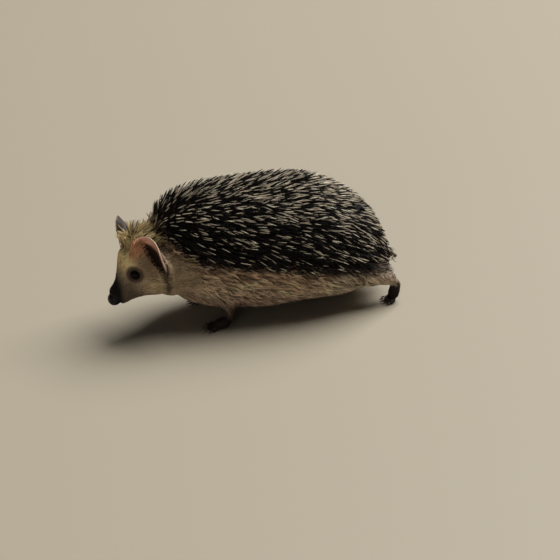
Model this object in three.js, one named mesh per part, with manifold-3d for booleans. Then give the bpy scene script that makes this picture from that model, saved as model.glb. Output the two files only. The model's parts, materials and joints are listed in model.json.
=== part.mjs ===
// A long-eared hedgehog walking, nose to the ground, as a still life-size model.
// Millimetres, +Z up. The head points to -X, and the animal's left side is at -Y.
// Each solid reaches out to the tips of the coat that grows on it, and neighbours keep a thin gap.
import * as THREE from "three";
import { mergeVertices } from "three/addons/utils/BufferGeometryUtils.js";
import Module from "manifold-3d";

const wasm = await Module();
wasm.setup();

// ---- Driving sizes ----

const GAP = 0.3; // between pieces that touch
const SIDES = ["left", "right"]; // the left side is at -Y
const yOf = (side) => (side === "left" ? -1 : 1);

const TRUNK = {
  nape: -94, // front end of the spiny back
  rump: 82, // rear end
  skirtStep: 2.6, // how far the spines stand out past the flank's fur
  sides: 32,
  rings: 22,
};

const NECK = { front: -93, back: -58, sides: 20, rings: 9 };

const HEAD = {
  noseTip: [-115.8, -20, 24.4],
  yaw: 17, // towards the left, from the trunk's own heading
  pitch: 41, // nose down
  roll: -10, // left ear a little lower
  length: 57, // nose tip to the back of the skull
  sides: 24,
  rings: 19,
};

const NOSE = { length: 8.2, width: 8.6, height: 7.8, rise: 0.1 };
const EYE = { radius: 3.3, back: 26, out: 9.8, up: 3 };
const MOUTH = { front: 4.5, corner: 18, height: -2.2, slope: 0.5 };
const EAR = {
  length: 34,
  width: 24,
  thickness: 1.6,
  cup: 7, // depth of the hollow
  lean: 24, // of the long axis, back from the head's own upward direction
  open: 47, // how far the hollow is turned forwards from straight out
};
// Lower notch of each ear in the head's frame: the right ear is raised a little more.
const EAR_NOTCH = { left: [37, -15, -13.5], right: [37.5, 15, -5] };

// Each leg: the joint inside the coat, the ankle or wrist, and the foot on the floor.
const LEGS = {
  front_left: { top: [-33, -27, 26], ankle: [-39.5, -30, 2.5], radius: 3.4 },
  front_right: { top: [-40, 18, 26], ankle: [-44, 15.5, 2.5], radius: 3.4 },
  hind_left: { top: [50, -25, 26], ankle: [77, -26, 16.5], radius: 4.6 },
  hind_right: { top: [40, 22, 24], ankle: [35.5, 24.5, 3], radius: 4.6 },
};
const FEET = {
  front_left: { ball: [-47.5, -30.5], heading: 4, sole: 9, lift: 12, size: 1 },
  front_right: { ball: [-52.5, 15.5], heading: -4, sole: 9, lift: 12, size: 1 },
  hind_left: { ball: [75.5, -26], heading: 6, sole: 15, lift: 78, size: 0.92 },
  hind_right: { ball: [17, 25], heading: -8, sole: 19, lift: 6, size: 1.05 },
};
const TOE = { length: 6.5, radius: 1.9, splay: 16, spacing: 1.6 };
const TOES = 5;
const CLAW = { length: 3.8, radius: 0.85, rise: 2, drop: 1.4 };
const TAIL = { root: [68, 0, 32], tip: [86, 0, 20], radius: 3.4 };

// ---- Shape helpers ----

// A smooth function through [x, value] pairs, with no overshoot between them.
function through(pairs) {
  const slope = pairs.slice(1).map(([x, v], i) => (v - pairs[i][1]) / (x - pairs[i][0]));
  const tangent = pairs.map((_, i) => {
    if (i === 0) return slope[0];
    if (i === pairs.length - 1) return slope[i - 1];
    const [a, b] = [slope[i - 1], slope[i]];
    return a * b <= 0 ? 0 : (2 * a * b) / (a + b);
  });
  const last = pairs.length - 2;
  return (x) => {
    const after = pairs.findIndex(([at]) => at > x);
    const i = after < 0 ? last : Math.min(last, Math.max(0, after - 1));
    const [[x0, v0], [x1, v1]] = [pairs[i], pairs[i + 1]];
    const step = x1 - x0;
    const t = THREE.MathUtils.clamp((x - x0) / step, 0, 1);
    return (
      v0 * (1 + 2 * t) * (1 - t) ** 2 +
      v1 * t ** 2 * (3 - 2 * t) +
      step * t * (1 - t) * (tangent[i] * (1 - t) - tangent[i + 1] * t)
    );
  };
}

// Rounds both ends of a form: 0 at t = 0 and 1, full in between. A higher power gives blunter ends.
const rounded = (t, power) => (1 - Math.abs(2 * t - 1) ** power) ** (1 / power);

// A power of a cosine or sine that keeps its sign, for sections between round and square.
const squared = (value, power) => Math.sign(value) * Math.abs(value) ** power;

// A sphere whose points are moved to place(t, angle): t runs from one pole to the other.
function pulledSphere(sides, rings, place) {
  const geometry = new THREE.SphereGeometry(1, sides, rings);
  const at = geometry.attributes.position;
  const p = new THREE.Vector3();
  for (let i = 0; i < at.count; i++) {
    p.fromBufferAttribute(at, i);
    const polar = Math.acos(THREE.MathUtils.clamp(p.y, -1, 1));
    const pole = Math.sin(polar) < 1e-6;
    const moved = place((1 - Math.cos(polar)) / 2, pole ? 0 : Math.atan2(p.z, p.x));
    at.setXYZ(i, ...moved);
  }
  return geometry;
}

// A tapered limb along a smooth path, with round ends.
function limb(points, radii, sides, rings) {
  const path = new THREE.CatmullRomCurve3(points.map((p) => new THREE.Vector3(...p)));
  const radius = through(radii);
  return pulledSphere(sides, rings, (t, angle) => {
    const along = path.getTangentAt(t);
    const across = new THREE.Vector3(0, 1, 0).cross(along).normalize();
    const other = along.clone().cross(across);
    const r = radius(t) * rounded(t, 3);
    return path
      .getPointAt(t)
      .addScaledVector(across, r * Math.cos(angle))
      .addScaledVector(other, r * Math.sin(angle))
      .toArray();
  });
}

// ---- Solids ----

// A geometry as a solid in the model's frame, whichever way round its faces were.
function solid(geometry, frame) {
  geometry.deleteAttribute("normal");
  geometry.deleteAttribute("uv");
  const merged = mergeVertices(geometry);
  if (frame) {
    frame.updateWorldMatrix(true, false);
    merged.applyMatrix4(frame.matrixWorld);
  }
  const vertProperties = merged.attributes.position.array;
  const triVerts = new Uint32Array(merged.index.array);
  const make = () => new wasm.Manifold(new wasm.Mesh({ numProp: 3, vertProperties, triVerts }));
  const made = make();
  if (made.volume() > 0) return made;
  for (let i = 0; i < triVerts.length; i += 3)
    [triVerts[i + 1], triVerts[i + 2]] = [triVerts[i + 2], triVerts[i + 1]];
  return make();
}

// The largest body of a solid, without the crumbs that a cut may leave.
const largest = (shape) =>
  shape.decompose().reduce((best, body) => (body.volume() > best.volume() ? body : best));

const joined = (solids) => solids.reduce((all, one) => all.add(one));
const cut = (shape, ...cutters) => cutters.reduce((rest, cutter) => rest.subtract(cutter), shape);

const hedgehog = new THREE.Group();

// Adds a solid to a group as a named mesh, in that group's own coordinates.
function addNode(group, name, shape, material) {
  const mesh = largest(shape).getMesh();
  const geometry = new THREE.BufferGeometry()
    .setAttribute("position", new THREE.BufferAttribute(new Float32Array(mesh.vertProperties), 3))
    .setIndex(new THREE.BufferAttribute(mesh.triVerts, 1));
  group.updateWorldMatrix(true, false);
  geometry.applyMatrix4(group.matrixWorld.clone().invert());
  geometry.computeVertexNormals();
  const node = new THREE.Mesh(geometry, material);
  node.name = name;
  group.add(node);
}

const finish = (color, roughness) =>
  new THREE.MeshStandardMaterial({ color, roughness, metalness: 0 });
const spines = finish(0x2c2622, 0.55);
const paleFur = finish(0xb9a585, 0.9);
const faceFur = finish(0xa08d66, 0.9);
const earSkin = finish(0xb07a63, 0.6);
const darkFur = finish(0x2a2220, 0.85);
const noseSkin = finish(0x0d0b0c, 0.35);
const eyeBlack = finish(0x050506, 0.08);
const clawHorn = finish(0x4a3d33, 0.45);

// ---- Trunk ----

const crestAt = through([
  [-94, 70], [-86, 79], [-78, 87], [-68, 92.5], [-52, 96.5], [-30, 97.5], [10, 96.5],
  [30, 92], [48, 82.5], [62, 72.5], [71, 62], [78, 47], [82, 34],
]);
const bellyAt = through([
  [-94, 44], [-86, 32], [-78, 22], [-64, 13], [-45, 7.5], [-25, 5], [35, 5], [55, 6.5], [70, 10.5], [82, 22],
]);
const halfWidthAt = through([
  [-94, 14], [-86, 22], [-78, 28], [-65, 33.5], [-40, 39], [-5, 42.5], [30, 43], [52, 39],
  [68, 31], [77, 23], [82, 15],
]);
// Lower edge of the spines on the flank.
const skirtPoints = [
  [-100, 76], [-80, 69], [-66, 60], [-50, 50], [-23, 43], [10, 36], [40, 31], [65, 26], [95, 20],
];

function trunkForm(inset) {
  const { nape, rump, skirtStep, sides, rings } = TRUNK;
  const reach = rump - nape - 2 * inset;
  return pulledSphere(sides, rings, (t, angle) => {
    const x = nape + inset + reach * t;
    const end = rounded(t, 7);
    const [top, bottom] = [crestAt(x) - inset, bellyAt(x) + inset - skirtStep];
    const middle = bottom + (top - bottom) * 0.38;
    const up = Math.sin(angle);
    const rise = up > 0 ? top - middle : middle - bottom;
    return [
      x,
      (halfWidthAt(x) - inset) * end * squared(Math.cos(angle), up > 0 ? 0.95 : 0.7),
      middle + rise * end * squared(up, up > 0 ? 0.97 : 0.8),
    ];
  });
}

// Everything above the spines' lower edge, with that edge lowered by drop.
function aboveSkirt(drop) {
  const edge = new THREE.SplineCurve(skirtPoints.map(([x, z]) => new THREE.Vector2(x, z - drop)));
  const outline = new THREE.Shape([
    ...edge.getPoints(24),
    new THREE.Vector2(95, 130),
    new THREE.Vector2(-100, 130),
  ]);
  const geometry = new THREE.ExtrudeGeometry(outline, { depth: 140, bevelEnabled: false });
  return solid(geometry.rotateX(Math.PI / 2).translate(0, 70, 0));
}

const spinyBack = solid(trunkForm(0)).intersect(aboveSkirt(0));
const furredTrunk = solid(trunkForm(TRUNK.skirtStep)).subtract(aboveSkirt(GAP));
const trunkRoom = joined([
  solid(trunkForm(-GAP)).intersect(aboveSkirt(GAP)),
  solid(trunkForm(TRUNK.skirtStep - GAP)),
]);

addNode(hedgehog, "spiny_back", spinyBack, spines);
addNode(hedgehog, "trunk", furredTrunk, paleFur);

// ---- Head ----

const head = new THREE.Group();
head.position.set(...HEAD.noseTip);
head.rotation.set(
  THREE.MathUtils.degToRad(HEAD.roll),
  THREE.MathUtils.degToRad(-HEAD.pitch),
  THREE.MathUtils.degToRad(HEAD.yaw),
  "ZYX",
);
hedgehog.add(head);

// The head's own profiles, from the nose tip backwards.
const headTop = through([
  [1, 2.8], [6, 4.6], [12, 7], [18, 10.6], [25, 15.6], [32, 20.4], [38, 25], [44, 29],
  [50, 29], [57, 22],
]);
const headBottom = through([
  [1, -2.6], [6, -5], [10, -7.6], [14, -11.4], [20, -16.6], [26, -21], [34, -24.5], [44, -23],
  [57, -15],
]);
const headHalf = through([
  [1, 2.6], [6, 4.2], [12, 6.2], [18, 8.8], [25, 12.2], [32, 16], [40, 18.6], [50, 18], [57, 13],
]);

function headForm(grow) {
  const { length, sides, rings } = HEAD;
  return pulledSphere(sides, rings, (t, angle) => {
    const x = 1 - grow + (length - 1 + 2 * grow) * t;
    const end = rounded(t, t < 0.5 ? 6 : 3);
    const [top, bottom] = [headTop(x) + grow, headBottom(x) - grow];
    const middle = (top + bottom) / 2;
    return [
      x,
      (headHalf(x) + grow) * end * squared(Math.cos(angle), angle > 0 ? 1.12 : 0.95),
      middle + ((top - bottom) / 2) * end * squared(Math.sin(angle), 0.95),
    ];
  });
}

function eyeForm(side, grow) {
  const { radius, back, out, up } = EYE;
  return new THREE.SphereGeometry(radius + grow, 12, 8).translate(back, yOf(side) * out, up);
}

function noseForm(grow) {
  const { length, width, height, rise } = NOSE;
  return new THREE.SphereGeometry(1, 14, 8)
    .scale(length / 2 + grow, width / 2 + grow, height / 2 + grow)
    .translate(length / 2 - 0.3, 0, rise);
}

// The space of the lower jaw: under the mouth line, from the chin to the mouth's corners.
function jawForm(grow) {
  const { front, corner, height, slope } = MOUTH;
  const lipAt = (x) => height - slope * (x - front) + grow;
  const outline = new THREE.Shape([
    new THREE.Vector2(front - grow, -30),
    new THREE.Vector2(corner + grow, -30),
    new THREE.Vector2(corner + grow, lipAt(corner)),
    new THREE.Vector2(front - grow, lipAt(front)),
  ]);
  const geometry = new THREE.ExtrudeGeometry(outline, { depth: 60, bevelEnabled: false });
  return geometry.rotateX(Math.PI / 2).translate(0, 30, 0);
}

// A cupped oval leaf, narrower at its lower notch, in a frame with +Z along the ear
// and the hollow facing -Y.
function earLeaf(grow) {
  const { length, width, thickness, cup } = EAR;
  const geometry = new THREE.SphereGeometry(1, 18, 12);
  const at = geometry.attributes.position;
  for (let i = 0; i < at.count; i++) {
    const across = at.getX(i) * (1 + (2 * grow) / width);
    const along = at.getY(i) * (1 + (2 * grow) / length);
    const deep = at.getZ(i) * (thickness / 2 + grow);
    const hollow = cup * (across ** 2 + 0.55 * along ** 2);
    const wide = (width / 2) * (0.86 + 0.2 * along);
    at.setXYZ(i, across * wide, deep - hollow, (length / 2) * (1 + along));
  }
  return geometry;
}

const skull = cut(
  solid(headForm(0), head),
  trunkRoom,
  solid(noseForm(GAP), head),
  solid(jawForm(GAP), head),
  ...SIDES.map((side) => solid(eyeForm(side, GAP), head)),
);
const jaw = cut(
  solid(headForm(0), head).intersect(solid(jawForm(0), head)),
  solid(noseForm(GAP), head),
);
const headRoom = solid(headForm(GAP), head);

addNode(head, "head", skull, faceFur);
addNode(head, "lower_jaw", jaw, faceFur);
addNode(head, "nose", solid(noseForm(0), head), noseSkin);
for (const side of SIDES) addNode(head, `eye_${side}`, solid(eyeForm(side, 0), head), eyeBlack);

// ---- Neck ----

const neckTop = through([[-93, 54], [-86, 63], [-76, 67], [-58, 58]]);
const neckBottom = through([[-93, 38], [-87, 31], [-80, 25.5], [-72, 19], [-58, 24]]);
const neckHalf = through([[-93, 7], [-87, 17], [-80, 24.5], [-72, 28.5], [-58, 18]]);
const neckMiddle = through([[-93, -12], [-84, -8.5], [-70, -3], [-58, 0]]);

function neckForm() {
  const { front, back, sides, rings } = NECK;
  return pulledSphere(sides, rings, (t, angle) => {
    const x = front + (back - front) * t;
    const [top, bottom] = [neckTop(x), neckBottom(x)];
    const end = rounded(t, 4);
    return [
      x,
      neckMiddle(x) + neckHalf(x) * end * squared(Math.cos(angle), 0.9),
      (top + bottom) / 2 + ((top - bottom) / 2) * end * squared(Math.sin(angle), 0.9),
    ];
  });
}

// ---- Ears ----

const earRoom = [];
for (const side of SIDES) {
  const ear = new THREE.Group();
  ear.position.set(...EAR_NOTCH[side]);
  ear.rotation.set(
    0,
    THREE.MathUtils.degToRad(EAR.lean),
    THREE.MathUtils.degToRad(side === "left" ? -EAR.open : 180 + EAR.open),
    "YZX",
  );
  head.add(ear);
  earRoom.push(solid(earLeaf(GAP), ear));
  addNode(ear, `ear_${side}`, cut(solid(earLeaf(0), ear), headRoom, trunkRoom), earSkin);
}

addNode(hedgehog, "neck", cut(solid(neckForm()), trunkRoom, headRoom, ...earRoom), paleFur);

// ---- Legs, feet and claws ----

// A point at a distance along a toe, measured from the ball of the foot, at height z.
function alongToe(toe, distance, z) {
  const from = toe - (TOES - 1) / 2;
  const turn = THREE.MathUtils.degToRad(from * TOE.splay);
  return [-0.5 - Math.cos(turn) * distance, Math.sin(turn) * distance + from * TOE.spacing, z];
}

// The outer toes are shorter than the middle ones.
const toeReach = (toe) => TOE.length * (1 - 0.07 * (toe - (TOES - 1) / 2) ** 2);

function clawForm(toe) {
  const { length, radius, drop, rise } = CLAW;
  const reach = toeReach(toe);
  const points = [
    alongToe(toe, reach - 0.6, rise),
    alongToe(toe, reach + length * 0.5, rise - drop * 0.2),
    alongToe(toe, reach + length, rise - drop),
  ];
  return limb(points, [[0, radius], [0.5, radius * 0.9], [1, radius * 0.35]], 5, 3);
}

// Palm and toes as one solid. The heel is lifted by a slope in degrees.
function pawForm(frame, sole, lift, grow) {
  const slope = THREE.MathUtils.degToRad(lift);
  const palmPoint = (part) =>
    [sole * part * Math.cos(slope), 0, TOE.radius + 0.6 + sole * part * Math.sin(slope)];
  const palm = limb(
    [[-1.5 - grow, 0, TOE.radius], palmPoint(0.4), palmPoint(1 + grow / sole)],
    [[0, 4.2 + grow], [0.4, 3.9 + grow], [1, 3.5 + grow]],
    10,
    6,
  ).scale(1, 1.15, 1);
  const pieces = [solid(palm, frame)];
  for (let toe = 0; toe < TOES; toe++) {
    const reach = toeReach(toe);
    const joints = [
      alongToe(toe, -1, TOE.radius * 1.1),
      alongToe(toe, reach * 0.45, TOE.radius),
      alongToe(toe, reach + grow, TOE.radius * 0.5),
    ];
    const radii = [[0, TOE.radius + grow], [0.5, TOE.radius * 0.86 + grow], [1, TOE.radius + grow]];
    pieces.push(solid(limb(joints, radii, 8, 5), frame));
  }
  return joined(pieces);
}

const floorRoom = solid(new THREE.BoxGeometry(400, 400, 40).translate(0, 0, -20));

for (const [name, { ball, heading, sole, lift, size }] of Object.entries(FEET)) {
  const foot = new THREE.Group();
  foot.position.set(...ball, 0);
  foot.rotation.z = THREE.MathUtils.degToRad(heading);
  foot.scale.setScalar(size);
  hedgehog.add(foot);

  const paw = pawForm(foot, sole, lift, 0);
  const pawRoom = pawForm(foot, sole, lift, GAP);
  for (let toe = 0; toe < TOES; toe++)
    addNode(foot, `claw_${name}_${toe + 1}`, cut(solid(clawForm(toe), foot), pawRoom), clawHorn);
  addNode(foot, `foot_${name}`, cut(paw, floorRoom, trunkRoom), darkFur);

  const { top, ankle, radius } = LEGS[name];
  const halfway = top.map((value, i) => (value + ankle[i]) / 2);
  const taper = [[0, radius * 1.7], [0.5, radius * 1.25], [1, radius]];
  const leg = limb([top, halfway, ankle], taper, 10, 8);
  addNode(hedgehog, `leg_${name}`, cut(solid(leg), trunkRoom, pawRoom), paleFur);
}

// ---- Tail ----

const tailBend = [(TAIL.root[0] + TAIL.tip[0]) / 2, 0, (TAIL.root[2] + TAIL.tip[2]) / 2 + 1];
const tail = limb([TAIL.root, tailBend, TAIL.tip], [[0, TAIL.radius], [1, TAIL.radius * 0.6]], 8, 7);
addNode(hedgehog, "tail", cut(solid(tail), trunkRoom), paleFur);

// The origin is on the floor, under the middle of the animal's own box.
const box = new THREE.Box3().setFromObject(hedgehog, true);
const middle = box.getCenter(new THREE.Vector3());
hedgehog.position.set(-middle.x, -middle.y, -box.min.z);

export default hedgehog;
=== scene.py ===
# %% [markdown]
# # A walking long-eared hedgehog
# This lesson dresses a plain solid hedgehog with skin, eyes, claws, spines and fur.
# The solid model reaches out to the tips of the coat. So the skin is made first, a little
# inside it, and then thousands of thin tapered spines and hairs are rooted in that skin.
# Sizes are in millimetres wherever a name or comment gives one, and Blender works in metres.

# %% The frame and the numbers that everything shares
import json
import math

import bpy
import numpy as np
from mathutils import Matrix, Vector
from mathutils.bvhtree import BVHTree
from mathutils.kdtree import KDTree

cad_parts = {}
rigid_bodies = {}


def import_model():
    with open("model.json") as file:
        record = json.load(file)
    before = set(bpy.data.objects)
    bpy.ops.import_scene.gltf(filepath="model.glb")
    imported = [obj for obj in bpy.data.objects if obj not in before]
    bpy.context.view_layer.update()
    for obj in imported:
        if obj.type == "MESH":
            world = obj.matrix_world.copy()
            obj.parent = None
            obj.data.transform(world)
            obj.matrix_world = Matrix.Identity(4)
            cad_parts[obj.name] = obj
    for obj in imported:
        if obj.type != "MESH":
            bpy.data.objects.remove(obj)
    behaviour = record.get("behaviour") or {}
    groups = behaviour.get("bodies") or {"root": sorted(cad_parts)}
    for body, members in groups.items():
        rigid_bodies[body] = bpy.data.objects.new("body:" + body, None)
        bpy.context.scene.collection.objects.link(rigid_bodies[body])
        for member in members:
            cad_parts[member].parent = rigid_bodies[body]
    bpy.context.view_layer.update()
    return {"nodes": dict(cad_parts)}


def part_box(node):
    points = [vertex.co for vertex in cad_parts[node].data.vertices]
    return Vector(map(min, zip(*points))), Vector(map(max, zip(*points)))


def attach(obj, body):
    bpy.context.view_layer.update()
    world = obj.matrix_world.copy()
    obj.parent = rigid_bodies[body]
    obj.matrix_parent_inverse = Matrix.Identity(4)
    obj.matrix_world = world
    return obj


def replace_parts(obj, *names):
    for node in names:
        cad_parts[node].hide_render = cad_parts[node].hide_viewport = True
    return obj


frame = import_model()
NODES = frame["nodes"]
MM = 0.001
SIDES = {"left": -1, "right": 1}
LEGS = ("front_left", "front_right", "hind_left", "hind_right")
LEG_NODES = [f"leg_{leg}" for leg in LEGS]
FOOT_NODES = [f"foot_{leg}" for leg in LEGS]
scene = bpy.context.scene

# %% [markdown]
# ## The camera
# The animal is seen from about a metre away and half a metre up, with a normal to long lens.
# The camera is made first, so that every later step can be looked at from the right place.
# Its matrix is built from three turns, because a roll comes before pitch and heading.

# %% Camera
CAMERA_PLACE = (-0.11696, -0.95688, 0.45564)
CAMERA_HEADING, CAMERA_PITCH, CAMERA_ROLL = -8.0, 65.5, -4.51
CAMERA_LENS = 98.55


def turn(degrees, axis):
    return Matrix.Rotation(math.radians(degrees), 4, axis)


def slide(x, y, z):
    """A move by millimetres."""
    return Matrix.Translation(Vector((x, y, z)) * MM)


camera = bpy.data.objects.new("camera", bpy.data.cameras.new("camera"))
scene.collection.objects.link(camera)
camera.data.sensor_width = 36
camera.data.lens = CAMERA_LENS
aim = turn(CAMERA_HEADING, "Z") @ turn(CAMERA_PITCH, "X") @ turn(CAMERA_ROLL, "Z")
camera.matrix_world = Matrix.Translation(CAMERA_PLACE) @ aim
scene.camera = camera
print("camera at", [round(v, 3) for v in camera.matrix_world.translation])

# %% [markdown]
# ## Small tools
# Most steps select one object, apply a modifier or read its points. These short functions do
# that. Points come out in millimetres, as rows of x, y and z.

# %% Tools for objects and points
def take(*objects):
    """Selects these objects and no others. The first is the active one."""
    bpy.ops.object.select_all(action="DESELECT")
    for obj in objects:
        obj.select_set(True)
    bpy.context.view_layer.objects.active = objects[0]


def edit(obj, choice):
    """Opens an object in edit mode with all its points selected ("SELECT") or none ("DESELECT")."""
    take(obj)
    bpy.ops.object.mode_set(mode="EDIT")
    bpy.ops.mesh.select_mode(type="VERT")
    bpy.ops.mesh.select_all(action=choice)


def end_edit():
    bpy.ops.object.mode_set(mode="OBJECT")


def apply_modifier(obj, kind, **settings):
    """Adds a modifier, sets it and applies it."""
    take(obj)
    modifier = obj.modifiers.new(kind, kind)
    for name, value in settings.items():
        setattr(modifier, name, value)
    bpy.ops.object.modifier_apply(modifier=modifier.name)


def read(items, field, width):
    values = np.empty(len(items) * width, np.float32)
    items.foreach_get(field, values)
    return values.reshape(-1, width).astype(float)


def coords(obj):
    return read(obj.data.vertices, "co", 3) / MM


def normals(obj):
    return read(obj.data.vertex_normals, "vector", 3)


def set_coords(obj, points):
    obj.data.vertices.foreach_set("co", (points * MM).astype(np.float32).ravel())
    obj.data.update()


print("corners of the nose solid:", len(coords(NODES["nose"])))

# %% Tools for forms
def place(obj, matrix):
    """Puts a transform into the mesh, so that the object itself stays at the origin."""
    obj.data.transform(matrix @ obj.matrix_basis)
    obj.matrix_basis = Matrix.Identity(4)
    return obj


def copy_node(name):
    """A copy of a CAD node with its doubled corners merged."""
    obj = bpy.data.objects.new(name + "_copy", NODES[name].data.copy())
    scene.collection.objects.link(obj)
    edit(obj, "SELECT")
    bpy.ops.mesh.remove_doubles(threshold=1e-6)
    end_edit()
    bpy.ops.mesh.customdata_custom_splitnormals_clear()
    obj.data.shade_smooth()
    obj.data.materials.clear()
    return obj


def ball(matrix, segments, rings, radius=1.0, scale=(1, 1, 1)):
    """A sphere that is stretched and then put in its place."""
    bpy.ops.mesh.primitive_uv_sphere_add(segments=segments, ring_count=rings, radius=radius)
    obj = bpy.context.object
    obj.scale = scale
    bpy.context.view_layer.update()
    return place(obj, matrix)


def cut(obj, tool):
    """Takes the tool's form out of an object, and removes the tool."""
    apply_modifier(obj, "BOOLEAN", operation="DIFFERENCE", object=tool, solver="EXACT")
    bpy.data.objects.remove(tool)


def joined(objects, name):
    take(*objects)
    bpy.ops.object.join()
    objects[0].name = name
    return objects[0]


print("solids that can be copied:", ", ".join(sorted(NODES)[-3:]), "and", len(NODES) - 3, "more")

# %% Tools for soft edges
def mix(a, b, share):
    """a where share is 0 and b where it is 1. For rows of numbers, share is a column."""
    return a + (np.asarray(b) - a) * share


def ramp(low, high, value):
    """A smooth step from 0 at low to 1 at high."""
    t = np.clip((value - low) / (high - low), 0, 1)
    return t * t * (3 - 2 * t)


def fade(low, high, value):
    """A smooth step from 1 at low to 0 at high."""
    return 1 - ramp(low, high, value)


def hill(*offsets):
    """1 where all offsets are 0, and close to 0 where one of them is past 2."""
    return np.exp(-sum(offset**2 for offset in offsets))


def unit(rows):
    return rows / np.maximum(np.linalg.norm(rows, axis=-1, keepdims=True), 1e-9)


print("a ramp and a hill at 0.25:", ramp(0, 1, 0.25), hill(0.25).round(3))

# %% [markdown]
# ## The head's own directions
# The head is turned to the left, tipped nose down and rolled a little. Its features are easier
# to place in its own directions: x backwards from the nose tip, y to its right, z to its crown.
# Regions are shares from 0 to 1 with soft edges, so that shapes and colours blend.

# %% Head frame and regions
NOSE_TIP = (-100.3, -20.0, 24.4)
HEAD = slide(*NOSE_TIP) @ turn(17, "Z") @ turn(-41, "Y") @ turn(-10, "X")
HEAD_AXES = np.array(HEAD.to_3x3())


def to_head(points):
    return (points - np.array(NOSE_TIP)) @ HEAD_AXES


def in_head(x, y, z):
    """The matrix of a place in the head's directions, in millimetres."""
    return HEAD @ slide(x, y, z)


def head_share(points):
    """1 on the head and 0 on the body."""
    x, y, z = to_head(points).T
    return fade(43, 56, x) * fade(24, 30, np.abs(y)) * ramp(-33, -27, z) * fade(34, 38, z)


def crown_share(points):
    """1 on the crown between the ears, where the first spines stand."""
    x, y, z = to_head(points).T
    edge = np.interp(x, [30, 44, 54], [7.0, 9.5, 17])
    across = fade(edge - 1, edge + 3, np.abs(y))
    return head_share(points) * ramp(29, 36, x) * ramp(1, 8, z) * across


def beside_ear(points):
    """1 on the sides of the head in front of the ears."""
    x, y, z = to_head(points).T
    along = ramp(25, 29, x) * fade(43, 48, x)
    return along * ramp(7, 10, np.abs(y)) * ramp(-15, -9, z) * fade(15, 19, z)


print("nose tip in the head's directions:", to_head(np.array([NOSE_TIP]))[0].round(2))

# %% Measures on the body
# Height of the spines' lower edge on the flank, from front to rear.
SKIRT_X = np.array([-84.5, -64.5, -50.5, -34.5, -7.5, 25.5, 55.5, 80.5, 110.5])
SKIRT_Z = np.array([75.0, 63.0, 50.0, 45.5, 43.5, 37.0, 31.0, 26.0, 20.0])


def above_skirt(points):
    return points[:, 2] - np.interp(points[:, 0], SKIRT_X, SKIRT_Z)


def distance_to(names, points):
    """How far points are from the surfaces of some CAD nodes, in millimetres."""
    corners, faces = [], []
    for name in names:
        faces += [[v + len(corners) for v in p.vertices] for p in NODES[name].data.polygons]
        corners += [v.co.copy() for v in NODES[name].data.vertices]
    tree = BVHTree.FromPolygons(corners, faces)
    return np.array([tree.find_nearest(Vector(p))[3] for p in points * MM]) / MM


print("lower edge of the spines at mid body:", round(-above_skirt(np.zeros((1, 3)))[0], 1), "mm up")

# %% [markdown]
# ## The flesh under the coat
# A real hedgehog's body is smaller than it looks: the spines reach about 7 mm off the skin and
# the fur 3 mm. Copies of the solid parts are swollen a little so that they overlap, joined, and
# wrapped in one even surface by a voxel remesh. Then each point is moved in by the depth of
# the coat that grows there. Sculpting by hand is the usual way, but here the pose and the size
# come from the solids.

# %% Trunk, neck, head and limbs as one form
SWELL = 0.35  # closes the thin gaps between the solid parts
FLESH_VOXEL = 0.9
EYES = {side: (26.0, 9.8 * y, 3.0) for side, y in SIDES.items()}
EYE_RADIUS = 3.3
SOCKET_RADIUS = EYE_RADIUS + 0.2
FLESH = ["spiny_back", "trunk", "neck", "head", "lower_jaw", "nose", "tail", *LEG_NODES, *FOOT_NODES]

forms = [copy_node(name) for name in FLESH if name != "nose"]  # the nose comes later
for form in forms:
    apply_modifier(form, "DISPLACE", strength=SWELL * MM, mid_level=0)
for centre in EYES.values():
    forms.append(ball(in_head(*centre), 24, 16, radius=SOCKET_RADIUS * MM))
flesh = joined(forms, "flesh")
apply_modifier(flesh, "REMESH", mode="VOXEL", voxel_size=FLESH_VOXEL * MM)
apply_modifier(flesh, "SMOOTH", factor=0.5, iterations=6)
print("flesh before the coat's depth is taken off:", len(flesh.data.vertices), "points")

# %% How deep the coat is
SPINE_DEPTH = 7.0
CROWN_DEPTH = 6.5
FLANK_DEPTH = 3.0
TEMPLE_DEPTH = 0.35
LEG_DEPTH = 0.9
FOOT_DEPTH = 0.15
FACE_BACK = [5, 12, 24, 38, 50]  # millimetres behind the nose tip
FACE_DEPTH = [0.05, 0.25, 0.55, 1.0, 2.4]


def fuller(points):
    """Places where the body is a little fuller than the solids, and by how many millimetres."""
    x, y, z = to_head(points).T
    hind_legs = distance_to(LEG_NODES[2:], points)
    return [
        (2.4, hill((x - 28) / 8, (z + 21) / 6) * fade(12, 18, np.abs(y))),  # throat
        (1.9, hill((x - 7) / 5) * ramp(0, 3, x) * ramp(-1, 3, z)),  # bridge of the nose
        (2.1, hill((x - 7) / 5) * fade(-5, -1, z)),  # chin
        (2.2, hill((points[:, 0] - 8) / 16) * fade(9, 16, points[:, 2])),  # belly
        (1.8, fade(1.0, 4.0, hind_legs) * ramp(8, 15, points[:, 2]) * fade(21, 28, points[:, 2])),  # thighs
    ]


def coat_depth(points):
    """How deep the skin lies under the tips of the coat."""
    depth = mix(FLANK_DEPTH, SPINE_DEPTH, ramp(-5, 4, above_skirt(points)))
    face = np.interp(to_head(points)[:, 0], FACE_BACK, FACE_DEPTH)
    depth = mix(depth, face, head_share(points))
    depth = mix(depth, CROWN_DEPTH, crown_share(points))
    depth = mix(depth, TEMPLE_DEPTH, beside_ear(points))
    *places, thighs = fuller(points)
    for height, share in places:
        depth = depth - height * share
    legs = distance_to(LEG_NODES + ["tail"], points)
    depth = mix(np.minimum(depth, LEG_DEPTH), depth, ramp(1.0, 4.0, legs))
    depth = depth - thighs[0] * thighs[1]
    feet = distance_to(FOOT_NODES, points)
    return mix(np.minimum(depth, FOOT_DEPTH), depth, ramp(0.8, 2.5, feet))


print("face depth at the nose and behind the ears:", FACE_DEPTH[0], FACE_DEPTH[-1])

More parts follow.
